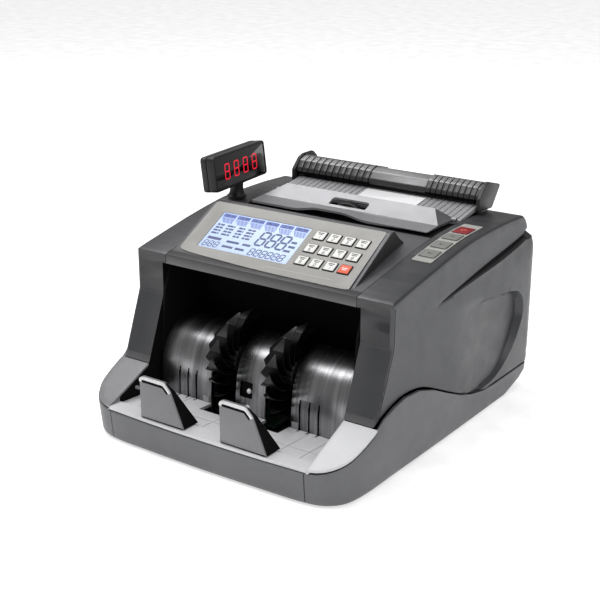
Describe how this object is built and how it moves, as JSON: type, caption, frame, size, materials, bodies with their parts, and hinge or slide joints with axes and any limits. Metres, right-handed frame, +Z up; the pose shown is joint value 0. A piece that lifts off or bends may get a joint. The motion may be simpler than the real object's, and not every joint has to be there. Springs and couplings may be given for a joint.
{
  "type": "banknote counting machine",
  "caption": "Desktop banknote counter with rear hopper, sloped keypad and display, finned stacker wheels, front note tray and a swivelling external display.",
  "frame": {"origin": "bottom centre of the machine's box, on the plane the feet stand on", "axes": "+Z up, the front with the note tray faces -Y, +X is the user's right"},
  "size_m": [0.236, 0.284, 0.1872],
  "materials": {
    "body_grey": "fine-textured gunmetal plastic",
    "roof_grey": "fine-textured lighter gunmetal plastic",
    "light_grey": "satin light grey plastic",
    "silver": "silver painted plastic",
    "overlay": "warm grey printed membrane",
    "lcd": "pale blue backlit display",
    "key_white": "white rubbery key",
    "key_orange": "orange-red key",
    "key_grey": "grey membrane key",
    "key_red": "red membrane key",
    "black": "black satin plastic",
    "gloss_black": "glossy dark plastic",
    "display_filter": "dark red display filter",
    "polished": "polished pale plate",
    "steel": "brushed steel",
    "rubber": "black rubber",
    "board": "green circuit board"
  },
  "bodies": {
    "chassis": {"lower_housing": "body_grey", "note_tray": "light_grey", "left_side_cover": "body_grey", "right_side_cover": "body_grey", "top_cover": "roof_grey", "panel_overlay": "overlay", "lcd_window": "lcd", "side_overlay": "overlay", "hopper_ramp": "silver", "hopper_center_plate": "polished", "left_guide": "gloss_black", "center_guide": "gloss_black", "right_guide": "gloss_black", "main_motor": "steel", "drive_belt": "rubber", "left_frame_plate": "black", "right_frame_plate": "black", "rear_cover": "body_grey", "power_inlet": "black", "control_board": "board", "power_board": "board", "foot_front_left": "rubber", "foot_front_right": "rubber", "foot_rear_left": "rubber", "foot_rear_right": "rubber"},
    "left_stop_body": {"left_stop": "silver"},
    "right_stop_body": {"right_stop": "silver"},
    "hood_body": {"hood": "silver"},
    "gap_adjust_body": {"gap_adjust_knob": "black"},
    "hopper_back_body": {"hopper_back": "black"},
    "external_display": {"display_post": "black", "display_housing": "black", "display_window": "display_filter"},
    "stacker_wheels": {"stacker_shaft": "steel", "left_impeller": "rubber", "right_impeller": "rubber"},
    "feed_rollers": {"feed_shaft": "steel", "feed_roller_left": "rubber", "feed_roller_right": "rubber"},
    "drive_rollers": {"drive_shaft": "steel", "drive_roller_left": "rubber", "drive_roller_right": "rubber"},
    "motor_drive": {"motor_pulley": "steel"},
    "switch_rocker": {"power_switch": "black"},
    "key_01_button": {"key_01": "key_white"},
    "key_02_button": {"key_02": "key_white"},
    "key_03_button": {"key_03": "key_white"},
    "key_04_button": {"key_04": "key_white"},
    "key_05_button": {"key_05": "key_white"},
    "key_06_button": {"key_06": "key_white"},
    "key_07_button": {"key_07": "key_white"},
    "key_08_button": {"key_08": "key_white"},
    "key_09_button": {"key_09": "key_white"},
    "key_10_button": {"key_10": "key_white"},
    "key_11_button": {"key_11": "key_white"},
    "key_12_button": {"key_12": "key_orange"},
    "side_key_1_button": {"side_key_1": "key_grey"},
    "side_key_2_button": {"side_key_2": "key_grey"},
    "side_key_3_button": {"side_key_3": "key_grey"},
    "side_key_red_button": {"side_key_red": "key_red"}
  },
  "joints": [
    {"name": "left_stop_slide", "type": "slide", "parent": "chassis", "child": "left_stop_body", "axis": [0, 1, 0], "range_m": [0, 0.012]},
    {"name": "right_stop_slide", "type": "slide", "parent": "chassis", "child": "right_stop_body", "axis": [0, 1, 0], "range_m": [0, 0.012]},
    {"name": "key_01_press", "type": "slide", "parent": "chassis", "child": "key_01_button", "axis": [0, 0.4756, -0.8796], "range_m": [0, 0.0008], "stiffness_N_per_m": 500},
    {"name": "key_02_press", "type": "slide", "parent": "chassis", "child": "key_02_button", "axis": [0, 0.4756, -0.8796], "range_m": [0, 0.0008], "stiffness_N_per_m": 500},
    {"name": "key_03_press", "type": "slide", "parent": "chassis", "child": "key_03_button", "axis": [0, 0.4756, -0.8796], "range_m": [0, 0.0008], "stiffness_N_per_m": 500},
    {"name": "key_04_press", "type": "slide", "parent": "chassis", "child": "key_04_button", "axis": [0, 0.4756, -0.8796], "range_m": [0, 0.0008], "stiffness_N_per_m": 500},
    {"name": "key_05_press", "type": "slide", "parent": "chassis", "child": "key_05_button", "axis": [0, 0.4756, -0.8796], "range_m": [0, 0.0008], "stiffness_N_per_m": 500},
    {"name": "key_06_press", "type": "slide", "parent": "chassis", "child": "key_06_button", "axis": [0, 0.4756, -0.8796], "range_m": [0, 0.0008], "stiffness_N_per_m": 500},
    {"name": "key_07_press", "type": "slide", "parent": "chassis", "child": "key_07_button", "axis": [0, 0.4756, -0.8796], "range_m": [0, 0.0008], "stiffness_N_per_m": 500},
    {"name": "key_08_press", "type": "slide", "parent": "chassis", "child": "key_08_button", "axis": [0, 0.4756, -0.8796], "range_m": [0, 0.0008], "stiffness_N_per_m": 500},
    {"name": "key_09_press", "type": "slide", "parent": "chassis", "child": "key_09_button", "axis": [0, 0.4756, -0.8796], "range_m": [0, 0.0008], "stiffness_N_per_m": 500},
    {"name": "key_10_press", "type": "slide", "parent": "chassis", "child": "key_10_button", "axis": [0, 0.4756, -0.8796], "range_m": [0, 0.0008], "stiffness_N_per_m": 500},
    {"name": "key_11_press", "type": "slide", "parent": "chassis", "child": "key_11_button", "axis": [0, 0.4756, -0.8796], "range_m": [0, 0.0008], "stiffness_N_per_m": 500},
    {"name": "key_12_press", "type": "slide", "parent": "chassis", "child": "key_12_button", "axis": [0, 0.4756, -0.8796], "range_m": [0, 0.0008], "stiffness_N_per_m": 500},
    {"name": "side_key_1_press", "type": "slide", "parent": "chassis", "child": "side_key_1_button", "axis": [0, 0.1666, -0.986], "range_m": [0, 0.0006], "stiffness_N_per_m": 500},
    {"name": "side_key_2_press", "type": "slide", "parent": "chassis", "child": "side_key_2_button", "axis": [0, 0.1299, -0.9915], "range_m": [0, 0.0006], "stiffness_N_per_m": 500},
    {"name": "side_key_3_press", "type": "slide", "parent": "chassis", "child": "side_key_3_button", "axis": [0, 0.0859, -0.9963], "range_m": [0, 0.0006], "stiffness_N_per_m": 500},
    {"name": "side_key_red_press", "type": "slide", "parent": "chassis", "child": "side_key_red_button", "axis": [0, 0.0413, -0.9991], "range_m": [0, 0.0006], "stiffness_N_per_m": 500},
    {"name": "hood_lift", "type": "hinge", "parent": "chassis", "child": "hood_body", "pos_m": [0, 0.064, 0.1494], "axis": [-1, 0, 0], "range_deg": [0, 50]},
    {"name": "gap_adjust_turn", "type": "hinge", "parent": "hood_body", "child": "gap_adjust_body", "pos_m": [-0.002, 0.0475, 0.1372], "axis": [0, 1, 0], "continuous": true},
    {"name": "hopper_back_tilt", "type": "hinge", "parent": "chassis", "child": "hopper_back_body", "pos_m": [0, 0.111, 0.1504], "axis": [-1, 0, 0], "range_deg": [0, 45]},
    {"name": "display_swivel", "type": "hinge", "parent": "chassis", "child": "external_display", "pos_m": [-0.0995, 0.031, 0.15], "axis": [0, 0, 1], "range_deg": [-90, 45]},
    {"name": "drive_spin", "type": "hinge", "parent": "chassis", "child": "drive_rollers", "pos_m": [0, 0.008, 0.104], "axis": [1, 0, 0], "continuous": true},
    {"name": "feed_spin", "type": "hinge", "parent": "chassis", "child": "feed_rollers", "pos_m": [0, 0.06, 0.128], "axis": [1, 0, 0], "continuous": true},
    {"name": "stacker_spin", "type": "hinge", "parent": "chassis", "child": "stacker_wheels", "pos_m": [0, -0.069, 0.058], "axis": [1, 0, 0], "continuous": true},
    {"name": "motor_spin", "type": "hinge", "parent": "chassis", "child": "motor_drive", "pos_m": [-0.079, 0.062, 0.052], "axis": [1, 0, 0], "continuous": true},
    {"name": "switch_rock", "type": "hinge", "parent": "chassis", "child": "switch_rocker", "pos_m": [-0.024, 0.1402, 0.046], "axis": [1, 0, 0], "range_deg": [0, 14]}
  ],
  "couplings": [
    {"joint": "feed_spin", "follows": "drive_spin", "ratio": 1},
    {"joint": "stacker_spin", "follows": "drive_spin", "ratio": 0.5},
    {"joint": "motor_spin", "follows": "drive_spin", "ratio": 1.5556}
  ]
}
